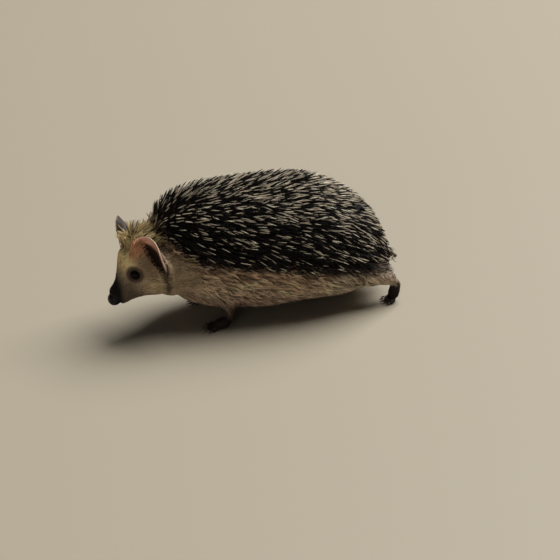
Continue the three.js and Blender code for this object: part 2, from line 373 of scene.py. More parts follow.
# %% Taking off the coat's depth
before = coords(flesh)
faces = [tuple(face.vertices) for face in flesh.data.polygons]
outer_tree = BVHTree.FromPolygons((before * MM).tolist(), faces)


def below_tips(points):
    """How far points are below the outer surface, where the coat's tips end, in millimetres."""
    spots = [Vector(p) for p in points * MM]
    hits = [outer_tree.find_nearest(spot) for spot in spots]
    inside = [(hit[0] - spot).dot(hit[1]) for hit, spot in zip(hits, spots)]
    return np.array(inside) / MM - SWELL


depth = coat_depth(before)
set_coords(flesh, before - normals(flesh) * (depth + SWELL)[:, None])
print("coat depth in mm, least and most:", depth.min().round(2), depth.max().round(2))

# %% [markdown]
# ## Ears
# The ears are large thin cups, open to the front and side, with a rolled rim and a deep hollow
# at the bottom. Each starts as a sphere. Its points are flattened to a leaf, bent into a cup,
# and thickened at the rim. A hollow is cut into the side of the head first, so that the cup's
# front wall runs down into it. A bent sheet with a Solidify modifier would have a square rim.

# %% Ear frames and leaves
EAR_LENGTH, EAR_WIDTH, EAR_CUP = 34.0, 24.0, 7.0
EAR_NOTCH = {"left": (37, -15, -13.5), "right": (37.0, 15, -2.2)}
EAR_TURN = {"left": -47, "right": 241}
EAR_NARROW = {"left": 1.0, "right": 0.76}
EAR_LEAN = 24
HOLLOW_RADII = (3.6, 5.0, 13.5)


def ear_frame(side):
    """The ear's own frame: z runs up the leaf, x across it, and y out of its back."""
    narrow = Matrix.Diagonal((EAR_NARROW[side], 1, 1, 1))
    return in_head(*EAR_NOTCH[side]) @ turn(EAR_LEAN, "Y") @ turn(EAR_TURN[side], "Z") @ narrow


def leaf_taper(along):
    return 0.86 + 0.2 * along


def leaf_bend(across, along, curl):
    """How far the cup stands back from a flat leaf, in millimetres."""
    return EAR_CUP * (across**2 + 0.55 * along**2) + 1.5 * curl**2


def ear_leaf(side):
    bpy.ops.mesh.primitive_uv_sphere_add(segments=72, ring_count=48, radius=1)
    leaf = bpy.context.object
    across, deep, along = (coords(leaf) * MM).T
    rim = np.sqrt(across**2 + along**2)
    rear = -SIDES[side]
    curl = np.clip((across * rear - 0.6) / 0.4, 0, 1)
    steep = (2 * EAR_CUP * across + 7.5 * curl * rear) / (0.45 * EAR_WIDTH)
    out = unit(np.stack([steep, np.ones(len(rim)), 2.2 * EAR_CUP * along / EAR_LENGTH], 1))
    wall = 0.5 + 0.2 * hill((rim - 0.95) / 0.05)
    wall *= np.sqrt(np.clip(1 - rim**16, 0, 1))
    folds = 0.2 * np.sin(along * 17) * (deep < 0) * ramp(0.95, 0.6, rim)
    x = across * (EAR_WIDTH / 2) * leaf_taper(along) - 0.9 * curl**2 * rear
    z = EAR_LENGTH / 2 * (1 + along)
    middle = np.stack([x, -leaf_bend(across, along, curl), z], 1)
    set_coords(leaf, middle + out * (np.sign(deep) * wall + folds)[:, None])
    return place(leaf, ear_frame(side))


for side, y in SIDES.items():
    seat = ear_frame(side) @ slide(-2.4 * y, -4.0, 14) @ turn(7 * y, "Y")
    cut(flesh, ball(seat, 40, 28, scale=Vector(HOLLOW_RADII) * MM))
ears = [ear_leaf(side) for side in SIDES]
print("ears made; flesh now has", len(flesh.data.vertices), "points")

# %% [markdown]
# ## Nose and eyelids
# The nose pad is a smooth rounded knob with a comma-shaped nostril on each side, so two small
# hollows are cut from it. Each eyelid is a soft ring set round the eyeball. Both are made before
# the skin, which then runs over them without a seam.

# %% Nose pad with nostrils
NOSE_GROWTH = 1.22
NOSE_MOVE = [0.3, 0, 0.1]
NOSTRILS = [  # place and radii, and turn about the head's z in degrees
    ((0.5, 2.9, 0.5), (1.5, 1.0, 1.05), 30),
    ((1.9, 4.4, 1.6), (1.9, 0.9, 0.65), 62),
]

nose = copy_node("nose")
nose_middle = coords(nose).mean(0)
set_coords(nose, nose_middle + (coords(nose) - nose_middle) * NOSE_GROWTH + HEAD_AXES @ NOSE_MOVE)
apply_modifier(nose, "SUBSURF", levels=2, render_levels=2)
for y in SIDES.values():
    for at, radii, degrees in NOSTRILS:
        seat = in_head(at[0], at[1] * y, at[2]) @ turn(-degrees * y, "Z")
        cut(nose, ball(seat, 20, 14, scale=Vector(radii) * MM))
print("nose pad:", len(nose.data.polygons), "faces")

# %% Eyelids
LID_RADIUS, LID_THICKNESS, LID_OUT = 3.85, 0.6, 0.6


def eye_axes(side):
    """The eye's own frame: z looks out of the head, x runs backwards along the lids."""
    out = Vector((-0.42, 0.9 * SIDES[side], 0.1)).normalized()
    up = (Vector((0.25, 0, 1)) - out * out.dot(Vector((0.25, 0, 1)))).normalized()
    return Matrix((up.cross(out), up, out)).transposed().to_4x4()


lids = []
for side, centre in EYES.items():
    bpy.ops.mesh.primitive_torus_add(
        major_radius=LID_RADIUS * MM,
        minor_radius=LID_THICKNESS * MM,
        major_segments=40,
        minor_segments=12,
    )
    lid = bpy.context.object
    lid.scale = (1.06, 0.95, 1)
    bpy.context.view_layer.update()
    lids.append(place(lid, in_head(*centre) @ eye_axes(side) @ slide(0, 0, LID_OUT)))
print("eyelids:", len(lids))

# %% [markdown]
# ## One skin
# Everything fleshy is joined and wrapped again in one fine surface, so that no seam is left.
# Small voxels keep the ear rims and toes, and then the trunk, which the coat hides, is thinned.

# %% Skin
SKIN_VOXEL = 0.55
HIDDEN_TRIANGLES = 26000

feet = [copy_node(name) for name in FOOT_NODES]
skin = joined([flesh, *ears, nose, *lids, *feet], "skin")
apply_modifier(skin, "REMESH", mode="VOXEL", voxel_size=SKIN_VOXEL * MM)
print("fine skin:", len(skin.data.polygons), "faces")
points = coords(skin)
open_skin = (head_share(points) > 0.01) | (points[:, 2] < 9) | (to_head(points)[:, 0] < 52)
open_skin |= np.abs(above_skirt(points)) < 3.5  # the spines' lower edge
group = skin.vertex_groups.new(name="hidden")
group.add(np.flatnonzero(~open_skin).tolist(), 1.0, "REPLACE")
kept = 2 * open_skin.mean() * len(skin.data.polygons)
share = (kept + HIDDEN_TRIANGLES) / (2 * len(skin.data.polygons))
apply_modifier(skin, "DECIMATE", ratio=share, vertex_group="hidden", use_collapse_triangulate=True)
skin.vertex_groups.clear()
apply_modifier(skin, "SMOOTH", factor=0.5, iterations=3)
print("thinned skin:", len(skin.data.polygons), "faces")

# %% A clean closed skin
# Bubbles inside the skin are dropped, and pinched spots are opened and closed again.
take(skin)
bpy.ops.mesh.separate(type="LOOSE")
bubbles = sorted(bpy.context.selected_objects, key=lambda obj: len(obj.data.vertices))
skin = bubbles.pop()
skin.name = "skin"
for bubble in bubbles:
    bpy.data.objects.remove(bubble)
skin.data.validate()
edit(skin, "SELECT")
for _ in range(2):
    bpy.ops.mesh.select_all(action="DESELECT")
    bpy.ops.mesh.select_non_manifold()
    bpy.ops.mesh.delete(type="VERT")
    bpy.ops.mesh.select_all(action="SELECT")
    bpy.ops.mesh.fill_holes(sides=0)
bpy.ops.mesh.quads_convert_to_tris()
end_edit()
skin.data.shade_smooth()
print("skin:", len(skin.data.polygons), "faces")

# %% Even ear rims
def near_ear(points, side):
    """Places in an ear's own frame, in units of the leaf: across, deep, along."""
    inverse = np.array(ear_frame(side).inverted())
    local = (points @ inverse[:3, :3].T) + inverse[:3, 3] / MM
    along = local[:, 2] / (EAR_LENGTH / 2) - 1
    across = local[:, 0] / (EAR_WIDTH / 2 * leaf_taper(along)) * -SIDES[side]
    curl = np.clip((across - 0.6) / 0.4, 0, 1.2)
    return across, local[:, 1] + leaf_bend(across, along, curl), along


rims = skin.vertex_groups.new(name="rims")
for side in SIDES:
    across, deep, along = near_ear(coords(skin), side)
    reach = np.sqrt(across**2 + along**2)
    chosen = (np.abs(deep) < 3) & (reach > 0.75) & (reach < 1.2) & (across + along > -0.9)
    rims.add(np.flatnonzero(chosen).tolist(), 1.0, "REPLACE")
apply_modifier(skin, "SMOOTH", factor=0.5, iterations=9, vertex_group="rims")
skin.vertex_groups.clear()
print("ear rims evened")

# %% [markdown]
# ## Lips and nose groove
# Some lines are too fine for the remesh. The face's own faces are divided once more, and their
# points are then pressed in along the mouth line and the groove under the nose.

# %% Fine creases of the face
LIP_DEPTH, GROOVE_DEPTH = 0.55, 0.45

front = to_head(coords(skin))
fine = (front[:, 0] < 20) & (np.abs(front[:, 1]) < 12) & (np.abs(front[:, 2]) < 14)
for centre in EYES.values():
    fine |= np.linalg.norm(front - np.array(centre), axis=1) < 5.5
edit(skin, "DESELECT")
end_edit()
skin.data.vertices.foreach_set("select", fine)
bpy.ops.object.mode_set(mode="EDIT")
bpy.ops.mesh.subdivide(number_cuts=1, smoothness=0)
bpy.ops.mesh.select_all(action="SELECT")
bpy.ops.mesh.quads_convert_to_tris()
end_edit()
points = coords(skin)
x, y, z = to_head(points).T
lip = hill((z + 2.2 + 0.5 * (x - 4.5)) / 0.45) * ramp(3.5, 5, x) * fade(15, 19, x)
groove = hill(y / 0.4) * fade(3.5, 5, x) * fade(0.5, 2.5, z)
set_coords(skin, points - normals(skin) * (LIP_DEPTH * lip + GROOVE_DEPTH * groove)[:, None])
print("creased points:", int((lip + groove > 0.3).sum()), "faces now", len(skin.data.polygons))

# %% [markdown]
# ## Marking colours, with painted light and shade
# The skin and the hair that grows on it have the same colours at the same places. So the
# marking colours are worked out once, as one colour for each point of the skin, from the place
# of the point on the body. Each hair later takes the colour of the point where it is rooted.
# A few of the layers are painted light and shade: the darker belly, the red before the ears,
# the pale ear rims and the dark ear slits.

# %% Regions of the ears
SLIT_ALONG = [-1.05, -0.75, -0.45, 0.1, 0.33, 0.58, 0.8]
SLIT_MIDDLE = [0.08, 0.16, 0.15, 0.06, -0.05, -0.16, -0.3]
SLIT_WIDTH_ALONG = [-1.2, -0.8, -0.3, 0.2, 0.5, 0.75]
SLIT_WIDTH = [0.08, 0.15, 0.29, 0.28, 0.18, 0.05]

points = coords(skin)
out = normals(skin)


def ear_regions(side):
    """Shares from 0 to 1 at the skin's points, measured in units of the ear's leaf."""
    across, deep, along = near_ear(points, side)
    rim = np.sqrt(across**2 + along**2)
    steep = np.sqrt(1 + (1.3 * across + 0.7 * ramp(0.6, 1.0, across)) ** 2)
    facing = out @ np.array(ear_frame(side).to_3x3())[:, 1]
    if side == "right":
        bare = ramp(-1.0, -0.7, along)
    else:
        bare = ramp(-0.25, 0.05, across + 0.9 * (along - 0.45))
        bare = np.maximum(bare, ramp(0.0, 0.2, across) * ramp(-0.7, -0.4, along))
        bare = np.maximum(bare, (facing > 0.3) & (np.abs(deep) < 1.2 * steep) & (rim < 1.04))
    near = (np.abs(deep) < 0.4 + 1.7 * steep) & (rim < 1.12) & (np.abs(along) < 1.1)
    leaf = near * bare
    inner = leaf * (facing < 0.1 + 0.3 * (rim > 0.9))
    # The dark slit is painted shade in the deep hollow in front of the rear wall, where the ear canal
    # opens.
    middle = np.interp(along, SLIT_ALONG, SLIT_MIDDLE)
    width = np.interp(along, SLIT_WIDTH_ALONG, SLIT_WIDTH)
    slit = fade(0.75, 1.15, np.abs(across - middle) / width) * ramp(-1.35, -1.1, along)
    slit = slit * fade(0.6, 0.75, along) * (np.abs(deep + 2) < 5)
    # The pale band along the rim and rear wall is pale skin, partly painted highlight where the edge
    # catches the light.
    rear = ramp(0, 0.2, across - middle - width) * ramp(0.45, 0.6, rim)
    edge = np.maximum(rear, ramp(0.86, 0.96, rim)) * ramp(-0.5, 0.1, across + along)
    # The front wall before the ear is reddish skin, partly painted glow of light shining through the ear.
    front = ramp(-1.7, -1.0, across) * fade(0.2, 0.5, across) * (np.abs(deep + 4) < 9)
    temple = ramp(-1.5, -0.8, across) * fade(0, 0.3, across) * (np.abs(deep + 4) < 9)
    outline = (rim > 0.7) & (rim < 1.2) & (np.abs(deep) < 3) & (along > -0.6)
    return {
        "leaf": leaf,
        "middle": leaf * fade(0.45, 0.8, rim),
        "inside": inner * ramp(-0.8, -0.5, across),
        "rim": inner * edge,
        "slit": slit * (facing < 0.5),
        "front": front * ramp(0.05, 0.5, along) * fade(0.9, 1.2, along),
        "temple": temple * ramp(-1.1, -0.5, along) * fade(0.2, 0.6, along),
        "far rim": outline & (side == "right"),
    }


left_ear, right_ear = [ear_regions(side) for side in SIDES]
ear = {name: np.maximum(left_ear[name], right_ear[name]) for name in left_ear}
print("points in each region of the ears:", {name: int((v > 0.5).sum()) for name, v in ear.items()})

# %% Regions of the body
NOSE_CENTRE, NOSE_RADII = [3.9, 0, 0.2], [5.2, 5.3, 5.0]

in_face = to_head(points)
on_head = head_share(points)
above = above_skirt(points)
above_floor = points[:, 2]
hind = ramp(30, 40, points[:, 0])
eye_distance = np.min([np.linalg.norm(in_face - np.array(c), axis=1) for c in EYES.values()], axis=0)
foot_share = fade(0.8, 2.2, distance_to(FOOT_NODES, points))
leg_share = fade(1.6, 4.5, distance_to(LEG_NODES, points)) * (above_floor < 28)
nose_share = fade(0.99, 1.06, np.linalg.norm((in_face - NOSE_CENTRE) / NOSE_RADII, axis=1))
tail_share = fade(3.5, 5.5, distance_to(["tail"], points))
crown = crown_share(points) * (1 - ear["leaf"])
nape = ramp(0, 2, above) * fade(-72, -60, points[:, 0]) * (1 - on_head) * (1 - ear["leaf"])
spiny = np.maximum(ramp(-1.5, 1.5, above) * (1 - on_head), crown * (crown > 0.3))
spiny = spiny * (1 - ear["leaf"]) * (1 - tail_share)
print("share of points: spiny %.2f, feet %.2f" % (spiny.mean(), foot_share.mean()))

# %% Patches and stripes
def patchy(points, size, seed):
    """A soft random pattern between -1 and 1, with patches of about this size in millimetres."""
    rng = np.random.default_rng(seed)
    waves = rng.normal(size=(5, 3)) * 1.6 / size
    shifts = rng.uniform(0, 6.28, 5)
    return np.sin(points @ waves.T + shifts).mean(1) * 1.6


x, y, z = in_face.T
snout_cap = fade(7.5, 12.5, x - 0.75 * z) * fade(13, 19, x)
snout_bridge = hill(y / 3.2) * fade(13, 21, x) * ramp(0, 2, z)
cheek = hill((x - 34) / 5, (z + 8) / 5) + hill((x - 25) / 5, (z + 12) / 3.5)
stripe = hill((x - (41 + 0.68 * (z + 5))) / 2.4) * ramp(-26, -20, z) * fade(-2, 4, z)
stripe = stripe * ramp(8, 12, np.abs(y))
uneven = above_floor + 2 * patchy(points, 3, 6)
shin = fade(11 - 5 * hind, 19 - 6 * hind, uneven)
ankle = fade(3, 12 - 3 * hind, uneven)
ear_back = ear["leaf"] * (1 - ear["inside"])
print("points in the stripe behind the cheek:", int((stripe > 0.5).sum()))

# %% Colours, each laid over the ones before it
TAN = (0.80, 0.55, 0.37)
NEAR_BLACK = (0.010, 0.008, 0.007)
EAR_BLACK = (0.040, 0.032, 0.030)
layers = [
    # Painted shade: the belly's pale grey is laid on darker, most of all lowest down, for the shade under
    # the body.
    ("grey belly with painted shade", (0.48, 0.355, 0.265), ramp(-8, -22, above) * 0.8),
    ("cream under the spines", (0.76, 0.60, 0.40), ramp(-2, -10, above) * fade(-14, -24, above) * 0.5),
    ("pale rump", (0.70, 0.59, 0.45), ramp(15, 60, points[:, 0]) * 0.75),
    ("tail", (0.12, 0.08, 0.055), tail_share),
    ("cream face", (0.55, 0.42, 0.27), on_head),
    ("yellow forehead", (0.98, 0.78, 0.43), on_head * ramp(4, 12, z) * ramp(16, 26, x)),
    ("brown muzzle", (0.13, 0.095, 0.07), on_head * fade(13, 27, x) * 0.92),
    ("black snout", NEAR_BLACK, on_head * snout_cap),
    ("black bridge", NEAR_BLACK, on_head * snout_bridge),
    ("pale cheek", (0.66, 0.52, 0.30), on_head * cheek * 0.55),
    ("temple", (0.27, 0.17, 0.11), on_head * ear["temple"] * 0.7),
    # Reddish skin before each ear, made brighter as painted glow of light shining through the ear.
    ("red before the ear with painted glow", (0.60, 0.26, 0.14), on_head * ear["front"] * 0.85 * (1 - crown)),
    ("dark eye ring", (0.058, 0.036, 0.030), on_head * fade(5.0, 7.6, eye_distance) * 0.9),
    ("lids", (0.006, 0.004, 0.004), fade(3.5, 4.3, eye_distance)),
    ("cheek stripe", (0.07, 0.04, 0.028), stripe * 0.95),
    ("under the spines", (0.022, 0.017, 0.014), spiny),
    ("straw crown", (0.17, 0.12, 0.055), crown),
    ("brown shins", (0.06, 0.035, 0.025), leg_share * shin * 0.9),
    ("black ankles", NEAR_BLACK, leg_share * ankle * 0.8),
    ("feet", (0.014, 0.009, 0.007), foot_share),
    ("tops of the feet", (0.032, 0.020, 0.014), foot_share * ramp(7, 13, above_floor)),
    ("backs of the ears", EAR_BLACK, ear_back),
    ("lighter middle of the backs", (0.10, 0.085, 0.085), ear_back * ear["middle"]),
    ("dark rim of the right ear", EAR_BLACK, ear["far rim"] * (ear["inside"] < 0.5)),
    ("red inside of the ears", (0.42, 0.19, 0.11), ear["inside"]),
    # Pale rims: pale skin and hair, partly painted highlight where the edge catches the light.
    ("pale rims with painted highlight", (0.66, 0.48, 0.37), ear["rim"] * 0.85),
    # Painted shade: near black for the shade in each ear's deep hollow, where its canal opens.
    ("painted shade in the ear hollows", (0.022, 0.010, 0.008), ear["slit"]),
    ("nose", (0.006, 0.005, 0.005), nose_share),
]
markings_and_painted_light = np.tile(np.array(TAN), (len(points), 1))
for name, colour, share in layers:
    markings_and_painted_light = mix(markings_and_painted_light, colour, np.clip(share, 0, 1)[:, None])
markings_and_painted_light *= (1 + 0.10 * patchy(points, 7, 3) + 0.06 * patchy(points, 2.2, 4))[:, None]
print(len(layers), "layers of colour; mean colour of the skin:", markings_and_painted_light.mean(0).round(3))

# %% [markdown]
# ## The skin's own materials
# Under the coat the skin is matt. The nose is moist and finely grained, the ears are thin
# enough for light to glow through them, and the soles and toes have a coarse grain. The marking
# colours come from the mesh, and noise at the right scale breaks them up. Two short functions
# add nodes and join them, so that each material reads as a list of what goes into what.

# %% Tools for materials
def feed(made, node, inputs):
    """Sets a node's inputs. One that is another node's output is joined to it."""
    for socket, value in inputs.items():
        if isinstance(value, bpy.types.NodeSocket):
            made.node_tree.links.new(value, node.inputs[socket])
        else:
            node.inputs[socket].default_value = value


def add(made, kind, inputs=None, **settings):
    """A new node in a material."""
    node = made.node_tree.nodes.new("ShaderNode" + kind)
    for name, value in settings.items():
        setattr(node, name, value)
    feed(made, node, inputs or {})
    return node


def surface(made, inputs):
    feed(made, made.node_tree.nodes["Principled BSDF"], inputs)


def material(name, roughness, specular):
    made = bpy.data.materials.new(name)
    made.use_nodes = True
    surface(made, {"Roughness": roughness, "Specular IOR Level": specular})
    return made


def tint_of(made):
    """The marking colour, painted light and shade included, which each mesh carries at its points."""
    return add(made, "Attribute", attribute_name="tint").outputs["Color"]


def set_bands(node, stops):
    """Sets a colour ramp node from pairs of place and colour."""
    elements = node.color_ramp.elements
    elements.remove(elements[1])
    for i, (at, colour) in enumerate(stops):
        element = elements[0] if i == 0 else elements.new(at)
        element.position = at
        element.color = (*colour, 1)


print("materials before the first one here:", len(bpy.data.materials))

# %% Materials for the skin
def tinted(name, roughness, specular, grain, height, stretch=(1, 1, 1), contrast=0.35):
    """A matt skin in the marking colours, with grain of a size in millimetres as colour and bump."""
    made = material(name, roughness, specular)
    spot = add(made, "TexCoord").outputs["Object"]
    spot = add(made, "Mapping", {"Vector": spot, "Scale": stretch}).outputs["Vector"]
    noise = add(made, "TexNoise", {"Vector": spot, "Scale": 1 / (grain * MM), "Detail": 3}).outputs["Fac"]
    shade = add(made, "MapRange", {"Value": noise, "To Min": 1 - contrast, "To Max": 1 + contrast})
    blend = {0: tint_of(made), "Scale": shade.outputs["Result"]}
    colour = add(made, "VectorMath", blend, operation="SCALE").outputs["Vector"]
    bump = add(made, "Bump", {"Strength": 0.8, "Distance": height * MM, "Height": noise})
    surface(made, {"Base Color": colour, "Normal": bump.outputs["Normal"]})
    return made


fur_skin = tinted("short_fur_skin", 0.85, 0.2, grain=1.1, height=0.35, stretch=(0.45, 1, 1))
ear_skin = tinted("ear_skin", 0.55, 0.35, grain=1.6, height=0.12, contrast=0.2)
surface(ear_skin, {"Subsurface Weight": 0.3, "Subsurface Radius": (1.0, 0.3, 0.18)})
surface(ear_skin, {"Subsurface Scale": 2.5 * MM})
nose_skin = tinted("wet_nose", 0.42, 0.3, grain=0.5, height=0.12)
foot_skin = tinted("foot_skin", 0.7, 0.25, grain=0.9, height=0.35)
for finish in (fur_skin, ear_skin, nose_skin, foot_skin):
    skin.data.materials.append(finish)
print("materials of the skin:", [finish.name for finish in skin.data.materials])

# %% Colours and materials on the skin
def write_tint(mesh, colours):
    """Stores one colour for each point, under the name that the materials read."""
    rgba = np.concatenate([np.clip(colours, 0, 1), np.ones((len(colours), 1))], 1)
    layer = mesh.color_attributes.new("tint", "FLOAT_COLOR", "POINT")
    layer.data.foreach_set("color", rgba.astype(np.float32).ravel())
    return layer


skin.data.color_attributes.active_color = write_tint(skin.data, markings_and_painted_light)
corners = np.empty(len(skin.data.polygons) * 3, np.int32)
skin.data.loops.foreach_get("vertex_index", corners)
triangles = corners.reshape(-1, 3)
kind = np.zeros(len(triangles), np.int32)
for number, share in enumerate((ear["leaf"], nose_share, foot_share), 1):
    kind[share[triangles].mean(1) > 0.5] = number
skin.data.polygons.foreach_set("material_index", kind)
print("faces of fur, ear, nose and foot skin:", np.bincount(kind))

# %% [markdown]
# ## An unwrap of the skin
# Every tuft needs a place of its own on a flat map of the skin, so that its colours can be
# baked there. The skin is cut and flattened by its shape, and each root's place on that map is
# read from the triangle that it grows on.

# %% Unwrap
skin.data.uv_layers.new(name="OFBake")
edit(skin, "SELECT")
bpy.ops.uv.smart_project(angle_limit=math.radians(70), island_margin=0.002)
end_edit()
corner_uv = read(skin.data.uv_layers["OFBake"].data, "uv", 2).reshape(-1, 3, 2)
ears_named = [f"ear_{side}" for side in SIDES]
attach(skin, "root")
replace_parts(skin, *FLESH, *ears_named)
print("unwrapped:", corner_uv.min().round(3), corner_uv.max().round(3))

# %% [markdown]
# ## Eyes and claws
# The eyes are glossy black balls, held in by their lids. The claws are horn, dark with paler
# spots. The solids have their shape already, so copies of them are merged and smoothed, which
# keeps every claw in its place.

# %% Eyes
def finished(obj, finish):
    """Gives a piece its material and smooth shading, and says what it rides on."""
    obj.data.materials.append(finish)
    obj.data.shade_smooth()
    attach(obj, "root")
    return obj


eye_black = material("eye_black", 0.06, 0.07)
surface(eye_black, {"Base Color": (0.006, 0.004, 0.003, 1)})
for side, centre in EYES.items():
    eye = ball(in_head(*centre) @ eye_axes(side), 40, 28, radius=EYE_RADIUS * MM)
    eye.name = f"eyeball_{side}"
    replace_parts(finished(eye, eye_black), f"eye_{side}")
print("eyes made")

# %% Claws
HORN_BANDS = [(0.3, (0.02, 0.014, 0.011)), (0.75, (0.09, 0.065, 0.048))]

horn = material("claw_horn", 0.4, 0.3)
spot = add(horn, "TexCoord").outputs["Object"]
noise = add(horn, "TexNoise", {"Scale": 900, "Vector": spot})
shades = add(horn, "ValToRGB", {"Fac": noise.outputs["Fac"]})
set_bands(shades, HORN_BANDS)
surface(horn, {"Base Color": shades.outputs["Color"]})
for leg in LEGS:
    names = [f"claw_{leg}_{toe}" for toe in range(1, 6)]
    claws = joined([copy_node(name) for name in names], f"claws_{leg}")
    apply_modifier(claws, "SUBSURF", levels=2, render_levels=2)
    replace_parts(finished(claws, horn), *names)
print("claws made for", len(LEGS), "feet")

# %% [markdown]
# ## Roots on the skin
# Hair and spines start from roots scattered over the skin. Each root is a spot in a triangle,
# chosen at random but never too close to one already chosen, as hair follicles are. Anything
# known at the corners of the triangle, such as the colour, can then be read at the root.
# A particle system could scatter them too, but its hairs would not be plain mesh.

# %% Roots
triangle_points = points[triangles]
first_edge = triangle_points[:, 1] - triangle_points[:, 0]
second_edge = triangle_points[:, 2] - triangle_points[:, 0]
area = np.linalg.norm(np.cross(first_edge, second_edge), axis=1)  # twice each triangle's area
skin_tree = BVHTree.FromPolygons((points * MM).tolist(), triangles.tolist())


class Roots:
    """Spots on the skin: triangle and share of each corner."""

    def __init__(self, triangle, share):
        self.triangle, self.share = triangle, share

    def at(self, values):
        """A quantity that is known at the skin's points, at the roots."""
        return np.einsum("ij,ij...->i...", self.share, values[triangles[self.triangle]])

    def uv(self):
        return np.einsum("ij,ijk->ik", self.share, corner_uv[self.triangle])

    def only(self, chosen):
        return Roots(self.triangle[chosen], self.share[chosen])


print("area of the skin in square cm:", round(float(area.sum() / 200), 1))

# %% Scattering roots
TRIES = 3.2  # spots tried for each place on an even grid
CLOSEST = 0.72  # of the spacing


def scatter(where, spacing, seed):
    """Roots where the share is above 0, about this many millimetres apart."""
    rng = np.random.default_rng(seed)
    weight = area * where[triangles].mean(1)
    count = int(TRIES * weight.sum() / 2 / (0.75 * spacing**2))
    triangle = rng.choice(len(triangles), count, p=weight / weight.sum())
    roots = Roots(triangle, rng.dirichlet((1, 1, 1), count))
    spots = roots.at(points)
    tree = KDTree(count)
    for i, spot in enumerate(spots):
        tree.insert(spot, i)
    tree.balance()
    free = np.ones(count, bool)
    kept = []
    for i, spot in enumerate(spots):
        if free[i]:
            kept.append(i)
            for _, j, _ in tree.find_range(spot, spacing * CLOSEST):
                free[j] = False
    return roots.only(np.array(kept))


print("spots tried for each root:", TRIES, "and the closest two, in spacings:", CLOSEST)

# %% [markdown]
# ## The lie of the coat
# Coat grows away from the nose: back over the head, up over the crown, back along the trunk
# and a little down, and down the legs. The lie is a direction in the skin at each point.

# %% Lie of the coat
BODY_LIE = [1.0, 0.0, -0.36]
LEG_LIE = [-0.35, 0.0, -1.0]

limb_boxes = [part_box(name) for name in LEG_NODES + FOOT_NODES]


def limb_share(points):
    """1 in and close to a leg or foot."""
    near = np.zeros(len(points))
    for low, high in limb_boxes:
        beyond = np.maximum(np.array(low) / MM - points, points - np.array(high) / MM)
        near = np.maximum(near, fade(1.5, 4.5, np.linalg.norm(np.maximum(beyond, 0), axis=1)))
    return near


def lie_of(points, normals):
    """Unit directions in the skin that the coat lies along."""
    x, _, z = to_head(points).T
    body = np.tile(BODY_LIE, (len(points), 1))
    body[:, 2] -= 0.45 * ramp(10, 90, points[:, 0])
    cheek = fade(-12, 4, z) * ramp(12, 24, x)
    face = np.tile(HEAD_AXES[:, 0], (len(points), 1)) - cheek[:, None] * 0.55 * HEAD_AXES[:, 2]
    lie = mix(body, face, head_share(points)[:, None])
    low = fade(10, 17, points[:, 2])
    lie = mix(lie, LEG_LIE, (low * limb_share(points))[:, None])
    return unit(lie - normals * (lie * normals).sum(1, keepdims=True))


back_lie = lie_of(np.array([[0.0, 0, 90]]), np.array([[0.0, 0, 1]]))
print("lie at the middle of the back:", back_lie.round(2))

# %% Lines that follow the skin
ROOT_DEPTH = 0.5
RISE = 0.7  # below 1, so that hairs leave the skin steeply and then lie down


def walk(roots, length, steps, height):
    """Lines that start at roots and follow the skin along the lie of the coat.
    Their ends stand off the skin by a height in millimetres."""
    spot, normal = roots.at(points), unit(roots.at(out))
    lie = lie_of(spot, normal)
    line, side = [spot - normal * ROOT_DEPTH], [np.cross(normal, lie)]
    for step in range(1, steps):
        spot = spot + lie * (length / (steps - 1))[:, None]
        hits = [skin_tree.find_nearest(Vector(p)) for p in spot * MM]
        spot = np.array([hit[0] for hit in hits]) / MM
        smooth = unit(out[triangles[[hit[2] for hit in hits]]].mean(1))
        normal = unit(0.6 * normal + 0.4 * smooth)
        lie = unit(0.5 * lie + 0.5 * lie_of(spot, normal))
        t = step / (steps - 1)
        line.append(spot + normal * (height * t**RISE)[:, None])
        side.append(unit(np.cross(normal, lie)))
    return np.stack(line, 1), np.stack(side, 1)


print("roots of the fur are", ROOT_DEPTH, "mm under the skin")

# %% [markdown]
# ## Turning lines into hairs
# A hair is a thin tapered tube with three or four sides: few faces, because there are tens of
# thousands. All hairs of a piece are built at once as arrays of points and go into one mesh,
# because an operator for each hair would take hours. Each hair also keeps how far along it a
# point is, its colour, and its own patch on the map.

# %% The points and triangles of hairs
FLOOR_GAP = 0.2


def tube_points(lines, radii, sides):
    """Rings of points round the lines, and then each line's tip: one row for each hair."""
    count = len(lines)
    along = unit(np.gradient(lines, axis=1))
    upright = np.abs(along.mean(1)[:, 2:3]) > 0.8
    reference = np.where(upright, [1.0, 0, 0], [0.0, 0, 1.0])[:, None, :]
    across = unit(np.cross(along, np.broadcast_to(reference, along.shape)))
    other = np.cross(along, across)
    angle = (2 * math.pi * np.arange(sides) / sides + 0.6)[:, None]
    around = np.cos(angle) * across[:, :-1, None] + np.sin(angle) * other[:, :-1, None]
    ring = lines[:, :-1, None] + radii[:, :-1, None, None] * around
    return np.concatenate([ring.reshape(count, -1, 3), lines[:, -1:]], 1)


def tube_triangles(rings, sides):
    """The triangles of one hair, and where their corners lie on its patch of the map."""
    faces, flat = [], []
    for r in range(rings - 1):
        for s in range(sides):
            a = r * sides + s
            b = r * sides + (s + 1) % sides
            faces += [(a, b, b + sides), (a, b + sides, a + sides)]
            flat += [[(s, r), (s + 1, r), (s + 1, r + 1)], [(s, r), (s + 1, r + 1), (s, r + 1)]]
    last = (rings - 1) * sides
    for s in range(sides):
        faces.append((last + s, last + (s + 1) % sides, last + sides))
        flat.append([(s, rings - 1), (s + 1, rings - 1), (s + 0.5, rings)])
    for s in range(1, sides - 1):
        faces.append((0, s + 1, s))
        flat.append([(0, 0), (s + 1, 0.2), (s, 0.1)])
    return np.array(faces), np.array(flat, float)


print("triangles of a hair with 5 rings and 4 sides:", len(tube_triangles(5, 4)[0]))

# %% Hairs from lines
PATCH = 0.003  # width of a hair's patch, as a share of the map


